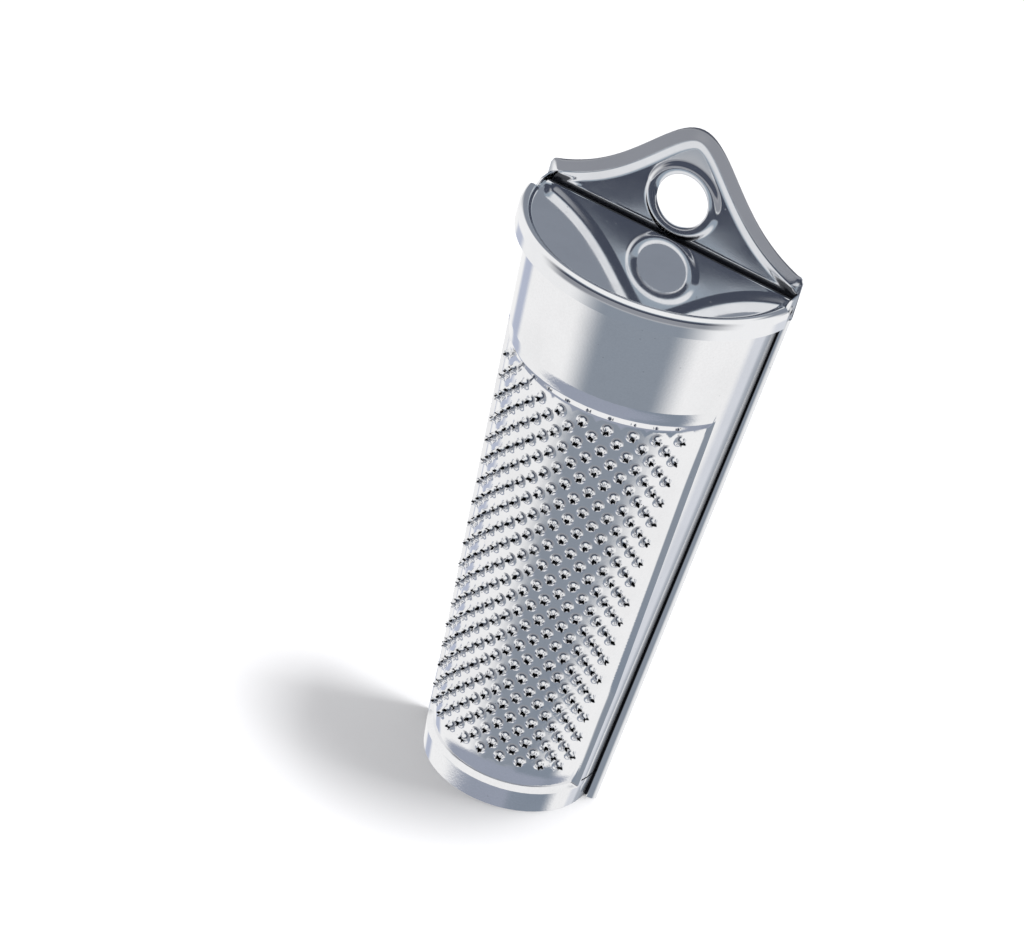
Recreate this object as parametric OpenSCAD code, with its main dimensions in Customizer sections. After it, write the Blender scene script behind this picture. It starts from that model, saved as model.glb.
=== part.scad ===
// Half-round nutmeg grater of pressed tinplate: a tapered pierced shell, folded into the sides of a
// flat back plate with a hanging tab, with a small box for whole nutmegs under a hinged lid.
// The object stands upright on its foot, with the origin under its middle. Each piece is drawn
// with the front of the back plate in the plane y = 0 and the half-round shell bulging towards -Y,
// and in_place() then moves it back to the origin.

/* [Shell] */
// Height of the shell from its open foot to its rim
shell_h = 107.3; // [95:0.1:125]
// Outer radius of the shell at the rim
shell_top_r = 22.9; // [21.5:0.1:23.5]
// Outer radius of the shell at the foot
shell_foot_r = 15.25; // [14.6:0.05:15.8]
// Distance of the shell's and the lid's centre line in front of the back plate
centre_y = 1.5; // [1:0.1:2.5]
// Thickness of all the sheet metal
sheet_t = 0.4; // [0.3:0.02:0.46]

/* [Grating zone] */
// Height of the grating zone's lower border above the foot
zone_foot_z = 4; // [3:0.2:6]
// Height of the plain band between the shell's rim and the bevel's crease
band_h = 19.3; // [18.3:0.1:20.8]
// Height of the gentle bevel below that crease
bevel_h = 2.7; // [1:0.1:4]
// Height of the steeper pressed wall at the zone's upper and lower borders
border_h = 1.4; // [0.6:0.1:1.5]
// Half width of the zone at its top, seen from the front
zone_top_half_w = 19.6; // [19.2:0.1:20]
// Half width of the zone at its foot, seen from the front
zone_foot_half_w = 15.1; // [14.6:0.1:15.2]
// Depth by which the zone is pressed in below the plain bands
zone_recess = 0.28; // [0.1:0.02:0.28]

/* [Burrs] */
// Height of the lowest row of burrs above the foot
first_row_z = 10.4; // [8:0.2:11]
// Height from one row of burrs to the next
row_pitch = 2.17; // [2:0.01:3]
// Angle from one burr to the next in the top row
top_pitch_angle = 11.9; // [11:0.1:12]
// Angle from one burr to the next in the lowest row
foot_pitch_angle = 13.3; // [12:0.1:13.4]
// Number of burrs in the longer rows, the rows between have one fewer
burrs_per_row = 10; // [4:2:10]
// Height of a burr above the sheet
burr_h = 0.95; // [0.5:0.05:1.3]
// Radius of a burr at its base
burr_base_r = 1.15; // [0.9:0.05:1.2]
// Radius of a burr at its torn tip
burr_tip_r = 0.62; // [0.55:0.01:0.7]
// Radius of the hole pierced through a burr
burr_hole_r = 0.42; // [0.2:0.02:0.5]

/* [Back plate] */
// Width of the back plate beside the shell at the foot
foot_side_w = 1.95; // [1.65:0.05:3.75]
// Width of the back plate beside the shell at its shoulders
shoulder_side_w = 0.9; // [0.9:0.05:1.5]
// Distance of the folded side seams' tops below the shell's rim
seam_drop = 3.6; // [3.6:0.1:17]
// Width of the lip that folds over the shell's flange
lip_w = 1; // [0.7:0.05:1]

/* [Hanging tab] */
// Height of the tab's top above the lid
tab_h = 20.6; // [18:0.2:26]
// Distance from the middle at which the tab's bell-shaped outline falls away
tab_bell_w = 16.1; // [14:0.1:18]
// Width of the sloping outer margin of the tab's raised edge
tab_margin_w = 2.3; // [1.5:0.1:2.6]
// Width of the raised bead along the tab's edge
tab_bead_w = 1.3; // [0.8:0.1:1.6]
// Height of the pressed beads above the tab's panel
tab_bead_h = 0.5; // [0.3:0.05:0.6]
// Radius of the hanging hole
hang_hole_r = 4.6; // [3:0.1:5]
// Height of the hanging hole's centre above the lid
hang_hole_z = 7.1; // [6.9:0.1:8]
// Width of the raised ring round the hanging hole
hang_ring_w = 2.4; // [1.5:0.1:2.4]

/* [Lid] */
// Distance by which the lid's rim stands out past the shell
lid_overhang = 2.1; // [1.8:0.1:2.6]
// Height of the lid's skirt below its flat top
skirt_h = 3; // [2:0.1:4]
// Radius of the rounded bead round the lid
lid_bead_r = 1; // [0.8:0.05:1.2]
// Height of the bead above the lid's flat top
lid_bead_h = 0.6; // [0.4:0.05:0.6]
// Gap between the lid's back edge and the back plate
lid_back_gap = 1; // [0.9:0.05:1.2]
// Gap between the lid's flat top and the shell's rim
lid_seat_gap = 0.1; // [0.02:0.02:0.2]

/* [Hinge] */
// Distance of the hinge axis in front of the back plate
hinge_y = 2.1; // [2.1:0.05:2.4]
// Depth of the hinge axis below the lid's flat top
hinge_drop = 1.5; // [1.3:0.05:1.5]
// Radius of the hinge ears on the back plate
ear_r = 2.2; // [2:0.05:2.3]
// Radius of the hinge lugs on the lid
lug_r = 1.8; // [1.6:0.05:1.8]
// Radius of the pivot rivets' shanks
pin_r = 0.6; // [0.4:0.05:0.7]
// Radius of the rivets' domed heads
pin_head_r = 1.15; // [0.9:0.05:1.2]
// Height of the rivets' heads
pin_head_h = 0.35; // [0.2:0.05:0.5]

/* [Compartment floor] */
// Depth of the compartment from the shell's rim to its floor
box_depth = 18.7; // [11.3:0.1:19.1]
// Height of the rim turned up round the floor
floor_rim_h = 3.2; // [1.5:0.1:5]

/* [Hidden] */
$fn = 64;
burr_fn = 16;

// Overrun of every cutting solid past the faces it cuts
overrun = 1;
// Side play between a lug and its ear, and between the lug and the rivet's inner head
lug_play = 0.05;
// Radial play of a rivet in a lug, and in an ear
running_play = 0.05;
seat_play = 0.02;
// Play between the floor's rim and the shell
floor_play = 0.04;
// Depth to which the burrs' flat bases sink into the curved sheet
burr_seat = 0.05;
// Width over which the zone's pressed side walls overlap the plain strips beside them
border_lap = 0.5;
// Height of the relief slits beside the foot band, their reach to the side and their depth
slit_h = 0.4;
slit_reach = 3.5;
slit_depth = 5.2;
// Notch that lets the lid's back corners swing down past the shell's rim
notch_y = 4.4;
notch_drop = 2.6;
// Length of the lid's rim left out in front of the hinge ears
rim_cut_y = 5.2;
// Reach of the lid's corner lugs in front of the hinge axis
lug_reach = 1.9;
// Share of a rivet's outer head taken up by its dimple
dimple_share = 0.6;

shell_taper = (shell_top_r - shell_foot_r) / shell_h;
taper_angle = atan(shell_taper);
zone_top_z = shell_h - band_h;
seam_h = shell_h - seam_drop;
floor_z = shell_h - box_depth;
lid_r = shell_top_r + lid_overhang;
plate_foot_half_w = shell_foot_r + foot_side_w;
plate_top_half_w = shell_top_r + shoulder_side_w;
// As many rows of burrs as fit under the zone's upper border
row_room = zone_top_z - bevel_h - border_h - burr_base_r - first_row_z;
row_count = 1 + floor(row_room / row_pitch);
lid_z = shell_h + lid_seat_gap + sheet_t;
hinge_z = lid_z - hinge_drop;
plate_taper = (plate_top_half_w - plate_foot_half_w) / seam_h;
seam_angle = atan(plate_taper);
ear_x = plate_top_half_w - sheet_t;
// The origin is under the middle of the object, so each piece moves back by this much
plan_y = (lid_r + centre_y - sheet_t) / 2;
lug_x = ear_x - lug_play - sheet_t;

function outer_r(z) = shell_foot_r + shell_taper * z;
function plate_half_w(z) = plate_foot_half_w + plate_taper * z;
function tab_top(x) = tab_h * pow(1 + pow(x / tab_bell_w, 2), -1.5);
function tab_slope(x) = -3 * tab_h * x / pow(tab_bell_w, 2) * pow(1 + pow(x / tab_bell_w, 2), -2.5);
// A point of the tab's outline, moved inwards at right angles to it
function tab_point(x, inset) =
    let (steep = sqrt(1 + pow(tab_slope(x), 2)))
    [x + inset * tab_slope(x) / steep, lid_z + tab_top(x) - inset / steep];
tab_steps = 40;
function tab_curve(inset) = [for (i = [0:tab_steps])
    tab_point(plate_top_half_w * (1 - 2 * i / tab_steps), inset)];

// A flat outline in x and z made a plate from y = front to y = front + thick
module upright(front, thick) {
    translate([0, front + thick, 0]) rotate([90, 0, 0]) linear_extrude(thick) children();
}

// Moves a piece from the plate's front face to its place round the origin
module in_place() {
    translate([0, plan_y, 0]) children();
}

module both_sides() {
    children();
    mirror([1, 0, 0]) children();
}

// A section turned half round the centre line, and carried straight back on both sides to the plate
module half_round() {
    translate([0, -centre_y, 0]) {
        rotate([0, 0, 180]) rotate_extrude(angle = 180) children();
        both_sides() translate([0, centre_y, 0]) rotate([90, 0, 0]) linear_extrude(centre_y) children();
    }
}

// The tab's outline with its edge moved in by inset, cut off level with the lid
module tab_area(inset) {
    intersection() {
        polygon(concat(tab_curve(inset), [[-plate_top_half_w, lid_z - overrun],
            [plate_top_half_w, lid_z - overrun]]));
        translate([-plate_top_half_w + inset, lid_z - overrun])
            square([2 * (plate_top_half_w - inset), tab_h + 2 * overrun]);
    }
}

// One folded side seam: the plate's edge turned forward and back over the flange
module side_seam() {
    fold_len = (seam_h + 2 * overrun) / cos(seam_angle);
    intersection() {
        translate([plate_half_w(-overrun), 0, -overrun]) rotate([0, seam_angle, 0])
            linear_extrude(fold_len) {
                translate([-sheet_t, -2 * sheet_t]) square([sheet_t, 3 * sheet_t]);
                translate([-lip_w, -2 * sheet_t]) square([lip_w, sheet_t]);
            }
        translate([0, -lip_w - overrun, 0]) cube([2 * plate_top_half_w, 2 * (lip_w + overrun), seam_h]);
    }
}

// A hinge ear: the shoulder of the plate bent forward, with its pivot hole
module hinge_ear() {
    difference() {
        union() {
            translate([ear_x, -hinge_y, hinge_z]) rotate([0, 90, 0]) cylinder(h = sheet_t, r = ear_r);
            translate([ear_x, -hinge_y, hinge_z - ear_r]) cube([sheet_t, hinge_y + sheet_t, 2 * ear_r]);
        }
        translate([ear_x - overrun, -hinge_y, hinge_z]) rotate([0, 90, 0])
            cylinder(h = sheet_t + 2 * overrun, r = pin_r + seat_play);
    }
}

module back_plate() {
    color([0.72, 0.74, 0.77]) in_place() difference() {
        union() {
            upright(0, sheet_t) {
                polygon([[-plate_foot_half_w, 0], [plate_foot_half_w, 0], [plate_top_half_w, seam_h],
                    [plate_top_half_w, lid_z], [-plate_top_half_w, lid_z], [-plate_top_half_w, seam_h]]);
                tab_area(0);
            }
            upright(-tab_bead_h, tab_bead_h + sheet_t) difference() {
                tab_area(tab_margin_w);
                tab_area(tab_margin_w + tab_bead_w);
                translate([-plate_top_half_w, 0]) square([2 * plate_top_half_w, lid_z + tab_bead_h]);
            }
            upright(-tab_bead_h, tab_bead_h + sheet_t)
                translate([0, lid_z + hang_hole_z]) circle(r = hang_hole_r + hang_ring_w);
            both_sides() side_seam();
            both_sides() hinge_ear();
        }
        translate([0, -tab_bead_h - overrun, lid_z + hang_hole_z]) rotate([-90, 0, 0])
            cylinder(h = tab_bead_h + sheet_t + 2 * overrun, r = hang_hole_r);
    }
}

// Wall of the shell, from pairs of height and distance pressed in
module shell_wall(pressing) {
    last = len(pressing) - 1;
    half_round() polygon(concat(
        [for (p = pressing) [outer_r(p[0]) - p[1], p[0]]],
        [for (i = [0:last]) let (p = pressing[last - i]) [outer_r(p[0]) - p[1] - sheet_t, p[0]]]));
}

// The grating zone's outline seen from the front, run right through the shell
module zone_wedge(inset) {
    slope = (zone_top_half_w - zone_foot_half_w) / (zone_top_z - zone_foot_z);
    low = zone_foot_half_w - slope * (zone_foot_z + overrun) - inset;
    high = zone_foot_half_w + slope * (shell_h + overrun - zone_foot_z) - inset;
    front = shell_top_r + centre_y + overrun;
    upright(-front, front) polygon([[-low, -overrun], [low, -overrun],
        [high, shell_h + overrun], [-high, shell_h + overrun]]);
}

// Places a burr's solids at right angles to the sheet, with z = 0 on its outer face
module each_burr() {
    for (row = [0:row_count - 1]) {
        z = first_row_z + row * row_pitch;
        rise = row / max(row_count - 1, 1);
        pitch_angle = foot_pitch_angle + (top_pitch_angle - foot_pitch_angle) * rise;
        count = burrs_per_row - (row % 2 == 0 ? 1 : 0);
        for (i = [0:count - 1])
            translate([0, -centre_y, 0]) rotate([0, 0, (i - (count - 1) / 2) * pitch_angle])
                translate([0, zone_recess - outer_r(z), z]) rotate([90 + taper_angle, 0, 0]) children();
    }
}

module grater_shell() {
    flange_out = sheet_t + seat_play;
    color([0.78, 0.8, 0.83]) in_place() difference() {
        union() {
            intersection() {
                shell_wall([[0, 0], [zone_foot_z, 0], [zone_foot_z + border_h, zone_recess],
                    [zone_top_z - bevel_h - border_h, zone_recess], [zone_top_z - bevel_h, zone_recess / 2],
                    [zone_top_z, 0], [shell_h, 0]]);
                zone_wedge(0);
            }
            difference() {
                shell_wall([[0, 0], [shell_h, 0]]);
                zone_wedge(border_lap);
            }
            both_sides() upright(-sheet_t, sheet_t) polygon([[outer_r(0) - sheet_t / 2, 0],
                [plate_half_w(0) - flange_out, 0], [plate_half_w(seam_h) - flange_out, seam_h],
                [outer_r(seam_h) - sheet_t / 2, seam_h]]);
        }
        each_burr() translate([0, 0, -sheet_t - overrun])
            cylinder(h = sheet_t + 2 * overrun, r = burr_hole_r, $fn = burr_fn);
        both_sides() translate([zone_foot_half_w, -slit_depth, zone_foot_z + border_h])
            cube([slit_reach + overrun, slit_depth + overrun, slit_h]);
        both_sides() translate([shell_top_r / 2, -notch_y, lid_z - hinge_drop - notch_drop])
            cube([shell_top_r, notch_y + overrun, hinge_drop + notch_drop]);
    }
}

// The torn crowns round the pierced holes, pushed out of the shell's sheet
module grating_burrs() {
    color([0.7, 0.72, 0.75]) in_place() each_burr() translate([0, 0, -burr_seat]) difference() {
        cylinder(h = burr_h + burr_seat, r1 = burr_base_r, r2 = burr_tip_r, $fn = burr_fn);
        translate([0, 0, -overrun])
            cylinder(h = burr_h + burr_seat + 2 * overrun, r = burr_hole_r, $fn = burr_fn);
    }
}

// Half section of the lid's flat top, rounded bead and skirt
module lid_section() {
    bead_x = lid_r - lid_bead_r;
    bead_z = lid_z + lid_bead_h - lid_bead_r;
    translate([0, lid_z - sheet_t]) square([lid_r - 2 * lid_bead_r + sheet_t, sheet_t]);
    translate([bead_x, bead_z]) difference() {
        circle(r = lid_bead_r);
        circle(r = lid_bead_r - sheet_t);
        translate([-2 * lid_bead_r, -2 * lid_bead_r]) square([4 * lid_bead_r, 2 * lid_bead_r]);
    }
    translate([lid_r - sheet_t, lid_z - skirt_h]) square([sheet_t, skirt_h + bead_z - lid_z]);
}

// A corner lug of the lid, bent down inside the ear, with its pivot hole
module lid_lug() {
    flat_r = lid_r - 2 * lid_bead_r;
    difference() {
        union() {
            translate([lug_x, -hinge_y, hinge_z]) rotate([0, 90, 0]) cylinder(h = sheet_t, r = lug_r);
            translate([lug_x, -hinge_y - lug_reach, hinge_z])
                cube([sheet_t, hinge_y + lug_reach - lid_back_gap, hinge_drop]);
            translate([flat_r - overrun, -hinge_y - lug_reach, lid_z - sheet_t])
                cube([lug_x + sheet_t - flat_r + overrun, hinge_y + lug_reach - lid_back_gap, sheet_t]);
        }
        translate([lug_x - overrun, -hinge_y, hinge_z]) rotate([0, 90, 0])
            cylinder(h = sheet_t + 2 * overrun, r = pin_r + running_play);
        translate([lug_x - overrun, -hinge_y - lug_r - overrun, lid_z])
            cube([sheet_t + 2 * overrun, 2 * (lug_r + overrun), lug_r + overrun]);
    }
}

module lid() {
    flat_r = lid_r - 2 * lid_bead_r;
    color([0.62, 0.65, 0.69]) in_place() {
        difference() {
            half_round() lid_section();
            translate([-lid_r - overrun, -lid_back_gap, lid_z - skirt_h - overrun])
                cube([2 * (lid_r + overrun), lid_back_gap + overrun, skirt_h + lid_bead_h + 2 * overrun]);
            both_sides() translate([flat_r, -rim_cut_y, lid_z - skirt_h - overrun])
                cube([lid_r, rim_cut_y + overrun, skirt_h + lid_bead_h + 2 * overrun]);
        }
        both_sides() lid_lug();
    }
}

module compartment_floor() {
    base_r = outer_r(floor_z) - sheet_t - floor_play;
    rim_r = outer_r(floor_z + floor_rim_h) - sheet_t - floor_play;
    color([0.74, 0.75, 0.77]) in_place() {
        half_round() polygon([[0, floor_z], [base_r, floor_z], [rim_r, floor_z + floor_rim_h],
            [rim_r - sheet_t, floor_z + floor_rim_h], [base_r - sheet_t, floor_z + sheet_t],
            [0, floor_z + sheet_t]]);
        upright(-sheet_t, sheet_t) polygon([[-base_r + sheet_t, floor_z], [base_r - sheet_t, floor_z],
            [rim_r - sheet_t, floor_z + floor_rim_h], [-rim_r + sheet_t, floor_z + floor_rim_h]]);
    }
}

// A pivot rivet through the right-hand ear and lug
module hinge_pin() {
    shank_l = 2 * (sheet_t + lug_play);
    color([0.6, 0.61, 0.63]) in_place()
        translate([lug_x - lug_play, -hinge_y, hinge_z]) rotate([0, 90, 0]) difference() {
            union() {
                translate([0, 0, -pin_head_h]) cylinder(h = shank_l + 2 * pin_head_h, r = pin_r);
                translate([0, 0, -pin_head_h]) cylinder(h = pin_head_h, r1 = pin_r, r2 = pin_head_r);
                translate([0, 0, shank_l]) cylinder(h = pin_head_h, r1 = pin_head_r, r2 = pin_r);
            }
            translate([0, 0, shank_l + pin_head_h * (1 - dimple_share)])
                cylinder(h = pin_head_h, r1 = 0, r2 = pin_r);
        }
}

module hinge_pin_right() {
    hinge_pin();
}

module hinge_pin_left() {
    mirror([1, 0, 0]) hinge_pin();
}

back_plate();
grater_shell();
grating_burrs();
lid();
compartment_floor();
hinge_pin_left();
hinge_pin_right();
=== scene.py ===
# %% [markdown]
# # A half-round nutmeg grater of tinplate
# The object is four pieces of thin tinned sheet and two small rivets: a back plate with a hanging
# tab, a tapered half-round shell whose front is pierced into rows of burrs, a lid on a hinge, and
# the floor of the box for whole nutmegs. Sheet metal is modelled here the way a tinsmith makes
# it: each piece starts as a thin surface, gets its pressings, is bent to its place, and is given
# its thickness last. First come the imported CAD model, which is the fixed frame, and its box.

# %% Load the frame
import math
import random

import bmesh
import bpy
from mathutils import Euler, Matrix, Vector


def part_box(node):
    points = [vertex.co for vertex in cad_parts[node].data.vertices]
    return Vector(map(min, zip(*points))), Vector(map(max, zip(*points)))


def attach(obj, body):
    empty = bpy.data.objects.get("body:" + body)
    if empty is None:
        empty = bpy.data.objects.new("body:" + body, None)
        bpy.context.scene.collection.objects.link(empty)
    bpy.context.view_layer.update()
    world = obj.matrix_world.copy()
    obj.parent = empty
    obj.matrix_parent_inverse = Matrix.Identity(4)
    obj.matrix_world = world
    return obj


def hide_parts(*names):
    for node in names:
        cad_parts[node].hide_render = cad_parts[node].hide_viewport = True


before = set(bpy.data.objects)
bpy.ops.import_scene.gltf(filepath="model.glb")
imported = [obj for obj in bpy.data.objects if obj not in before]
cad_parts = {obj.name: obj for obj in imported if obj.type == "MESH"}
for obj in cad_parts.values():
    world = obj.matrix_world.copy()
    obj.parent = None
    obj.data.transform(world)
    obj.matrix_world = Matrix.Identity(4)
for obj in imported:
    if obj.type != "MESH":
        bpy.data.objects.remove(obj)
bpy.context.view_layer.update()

# %% [markdown]
# ## Sizes
# Everything is in metres, in the frame's own axes: +Z up the grater, -Y out of its rounded side.
# The main places are read from the boxes of the CAD nodes, so that each piece sits where the frame
# has it. A box can't tell the sheet's thickness or how the shell tapers inside it, so those have
# values of their own, as the pressed shapes do further on.

# %% Main sizes
mm = 0.001
sheet_t = 0.4 * mm
plate_low, plate_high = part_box("back_plate")
shell_low, shell_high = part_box("grater_shell")

# The plate's front face, and the upright centre line that all the half-round shapes share.
plate_y = plate_high.y - sheet_t
axis_y = plate_y - 1.5 * mm

shoulder_w = plate_high.x
foot_w = 17.2 * mm
seam_h = 103.7 * mm
shell_h = shell_high.z
shell_top_r = axis_y - shell_low.y
shell_foot_r = 15.25 * mm
print("plate is", round((plate_high.z - plate_low.z) / mm, 1), "mm tall, shell is",
      round(shell_h / mm, 1), "mm tall and", round(shell_top_r / mm, 2), "mm in radius at its rim")

# %% [markdown]
# Two measures are asked for again and again: how far the shell stands out from its centre line at
# a height, and how wide the back plate is there. Both pieces taper evenly from the top to the
# foot. The shell's foot band is also drawn in a little towards its edge, so that it mirrors its
# surroundings at another angle than the wall over it.

# %% Radius of the shell and width of the plate
foot_band_h = 4.2 * mm
foot_roll = 0.15 * mm


def outer_r(z):
    """Radius of the shell's plain outer face at a height."""
    drawn_in = foot_roll * max(0, 1 - z / foot_band_h)
    return shell_foot_r + (shell_top_r - shell_foot_r) * z / shell_h - drawn_in


def plate_half_w(z):
    """Half width of the back plate, with its folded seams, at a height."""
    return foot_w + (shoulder_w - foot_w) * min(z / seam_h, 1)


print("shell is", round(outer_r(0) / mm, 2), "mm in radius at its foot")

# %% [markdown]
# ## Small helpers
# Many pressed shapes here grow from a chain of points: the sheet's edge, or half of a section. The
# extrude operator makes a new row of edges and the faces between, and only the new places have to
# be given. A list of vertices and faces could be worked out instead, but a chain that is extruded
# row by row reads like the work of a forming tool. A smooth step rounds what would start sharply.

# %% Helpers for chains of points
def ease(t):
    """A smooth step from 0 to 1."""
    t = min(max(t, 0.0), 1.0)
    return t * t * (3 - 2 * t)


def verts_in(geom):
    """The vertices among what an operator gives back."""
    return [g for g in geom if isinstance(g, bmesh.types.BMVert)]


def edges_in(geom):
    """The edges among what an operator gives back."""
    return [g for g in geom if isinstance(g, bmesh.types.BMEdge)]


def chain(bm, points):
    """A row of vertices joined by edges."""
    verts = [bm.verts.new(p) for p in points]
    edges = [bm.edges.new(pair) for pair in zip(verts, verts[1:])]
    return verts, edges


def extrude_chain(bm, verts, edges, points):
    """Extrudes a chain of edges and puts its new vertices on the given points."""
    geom = bmesh.ops.extrude_edge_only(bm, edges=edges)["geom"]
    grown = set(verts_in(geom))
    partner = {v: e.other_vert(v) for v in verts for e in v.link_edges if e.other_vert(v) in grown}
    new_verts = [partner[v] for v in verts]
    for v, p in zip(new_verts, points):
        v.co = p
    return new_verts, [e for e in edges_in(geom) if e.verts[0] in grown and e.verts[1] in grown]


print("a smooth step is at", ease(0.25), "after a quarter of the way")

# %% [markdown]
# A sheet gets its thickness from a Solidify modifier. The modifier could stay live, but it is
# applied at once, because that leaves a plain closed mesh whose real edges are found by their
# angle afterwards. Where a punch has drawn the sheet thin, a vertex group makes Solidify give it
# less. The new inner face can be given painted shade, for the dark inside of a hollow piece.

# %% Give a sheet its thickness
def thicken(piece, thickness, group, inside):
    """Gives a piece its sheet thickness, less where the group says, and paints shade on its inner face."""
    surface = piece.data
    solid = piece.modifiers.new("sheet", "SOLIDIFY")
    solid.thickness = thickness
    solid.offset = -1
    if group:
        vertex_group = piece.vertex_groups.new(name=group)
        for i, item in enumerate(surface.attributes[group].data):
            vertex_group.add([i], 1 - item.value, "REPLACE")
        solid.vertex_group = group
    graph = bpy.context.evaluated_depsgraph_get()
    thick = bpy.data.meshes.new_from_object(piece.evaluated_get(graph))
    piece.modifiers.clear()
    piece.vertex_groups.clear()
    # The inner face gets painted shade, the dark of the hollow inside.
    if inside:
        shade_amount = thick.attributes["painted_shade"].data
        for i in range(len(surface.vertices), len(thick.vertices)):
            shade_amount[i].value = inside
    piece.data = thick
    bpy.data.meshes.remove(surface)


print("the sheet is", round(sheet_t / mm, 2), "mm thick")

# %% [markdown]
# Every piece is finished the same way. Its mesh becomes an object, is shaded smooth except across
# real edges, gets its material, and is told which body of the moving model it rides on and which
# CAD node it stands for. One function does this for all of them.

# %% Finish a piece
triangles = {}
edge_angle = 38


def object_from(name, bm):
    """Turns a bmesh into an object of the scene."""
    mesh = bpy.data.meshes.new(name)
    bm.to_mesh(mesh)
    bm.free()
    piece = bpy.data.objects.new(name, mesh)
    bpy.context.scene.collection.objects.link(piece)
    return piece


def finish_piece(name, bm, material, body, nodes=(), thickness=0.0, group=None,
                 sharp=edge_angle, inside=0.0):
    """Turns a bmesh into a piece: thickness, shading, material and body."""
    piece = object_from(name, bm)
    if thickness:
        thicken(piece, thickness, group, inside)
    for polygon in piece.data.polygons:
        polygon.use_smooth = True
    piece.data.set_sharp_from_angle(angle=math.radians(sharp))
    piece.data.materials.clear()
    piece.data.materials.append(material)
    piece.data.name = name
    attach(piece, body)
    if nodes:
        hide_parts(*nodes)
    triangles[name] = sum(len(p.vertices) - 2 for p in piece.data.polygons)
    print(name, triangles[name], "triangles")


print("an edge counts as sharp from", edge_angle, "degrees")

# %% [markdown]
# ## Finishes
# All the metal is tinned steel sheet, and the pieces differ in how bright it was rolled. The nodes
# of a material could be placed by hand in the editor. In a script, a few helpers let each step of
# a material be read as one line: add a node, do a sum, take a smooth step, mix two colours.

# %% Node helpers
def node(tree, kind, inputs=(), **settings):
    """Adds a node, sets its options and its inputs, and returns it."""
    new = tree.nodes.new(kind)
    for key, value in settings.items():
        setattr(new, key, value)
    for key, value in dict(inputs).items():
        if isinstance(value, bpy.types.NodeSocket):
            tree.links.new(value, new.inputs[key])
        else:
            new.inputs[key].default_value = value
    return new


def calc(tree, operation, a, b=0.0, clamp=False):
    """A Math node's result."""
    return node(tree, "ShaderNodeMath", {0: a, 1: b}, operation=operation, use_clamp=clamp).outputs[0]


def spread(tree, value, low, high, to_low=0.0, to_high=1.0):
    """A smooth step of a value from low to high."""
    return node(tree, "ShaderNodeMapRange",
                {"Value": value, "From Min": low, "From Max": high, "To Min": to_low,
                 "To Max": to_high}, interpolation_type="SMOOTHSTEP").outputs["Result"]


def mix_color(tree, factor, a, b):
    """Mixes two colours, each a value or a socket."""
    return node(tree, "ShaderNodeMix", {0: factor, 6: a, 7: b}, data_type="RGBA").outputs[2]


def new_material(name):
    """An empty node material and its tree."""
    material = bpy.data.materials.new(name)
    material.use_nodes = True
    material.node_tree.nodes.clear()
    return material, material.node_tree


print("node helpers: add, calculate, spread and mix")

# %% [markdown]
# Tinplate is never a perfect mirror: it has a very fine grain, faint rubbed patches where it is a
# little duller, and tiny dark pits. All the finishes show these three marks, so one node group
# makes them and each material places it with its own values. It reads Object coordinates, handed
# in through its Vector socket, so the marks stay on the metal when a piece moves.

# %% The marks group and its sockets
marks = bpy.data.node_groups.new("tinplate_marks", "ShaderNodeTree")
mark_values = [("Vector", "NodeSocketVector", None), ("Base", "NodeSocketColor", (0.8, 0.8, 0.8, 1)),
               ("Clean Roughness", "NodeSocketFloat", 0.2), ("Dull Roughness", "NodeSocketFloat", 0.3),
               ("Grain", "NodeSocketFloat", 1.0), ("Pits", "NodeSocketFloat", 1.0)]
mark_results = [("Color", "NodeSocketColor"), ("Roughness", "NodeSocketFloat"),
                ("Height", "NodeSocketFloat")]
for name, kind, value in mark_values:
    socket = marks.interface.new_socket(name=name, in_out="INPUT", socket_type=kind)
    if value is not None:
        socket.default_value = value
for name, kind in mark_results:
    marks.interface.new_socket(name=name, in_out="OUTPUT", socket_type=kind)
mark_in = marks.nodes.new("NodeGroupInput").outputs
place = mark_in["Vector"]
print("marks group takes", len(mark_values), "values and gives", len(mark_results))

# %% [markdown]
# The three marks differ mainly in size, so each is a noise of its own scale. The rubbed patches
# are about a centimetre wide and soft at their borders, and the grain is far finer. A pit is the
# middle of a Voronoi cell, and a coarser noise keeps pits only in some patches, since the tin
# wears unevenly.

# %% Rubbed patches, grain and pits
rub_scale = 90.0
rub_starts, rub_full = 0.38, 0.68
grain_scale = 2600.0
pit_scale = 520.0
pit_bottom, pit_rim = 0.05, 0.1
pit_patch_scale = 260.0
pitted_from = 0.58

rub_noise = node(marks, "ShaderNodeTexNoise", {"Vector": place, "Scale": rub_scale, "Detail": 5.0,
                                               "Roughness": 0.62}).outputs["Fac"]
rubbed = spread(marks, rub_noise, rub_starts, rub_full)
grain_noise = node(marks, "ShaderNodeTexNoise", {"Vector": place, "Scale": grain_scale,
                                                 "Detail": 2.0}).outputs["Fac"]
grain = calc(marks, "MULTIPLY", calc(marks, "SUBTRACT", grain_noise, 0.5), mark_in["Grain"])
pit_cells = node(marks, "ShaderNodeTexVoronoi", {"Vector": place, "Scale": pit_scale})
pits = spread(marks, pit_cells.outputs["Distance"], pit_bottom, pit_rim, 1.0, 0.0)
pit_patches = node(marks, "ShaderNodeTexNoise", {"Vector": place, "Scale": pit_patch_scale,
                                                 "Detail": 1.0}).outputs["Fac"]
pits = calc(marks, "MULTIPLY", pits, calc(marks, "GREATER_THAN", pit_patches, pitted_from))
pits = calc(marks, "MULTIPLY", pits, mark_in["Pits"])
print("marks group has", len(marks.nodes), "nodes so far")

# %% [markdown]
# What a mark does to the metal is worked out last. A rubbed patch is duller and a little darker.
# The grain changes roughness and colour slightly up and down. A pit is darker, rougher and lower
# than the sheet, and the group's Height lets a Bump node in the material show it.

# %% Roughness, colour and height of the marks
grain_rough = 0.12
pit_rough = 0.3
rub_shade = 0.04
pit_shade = 0.3
grain_shade = 0.1

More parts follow.
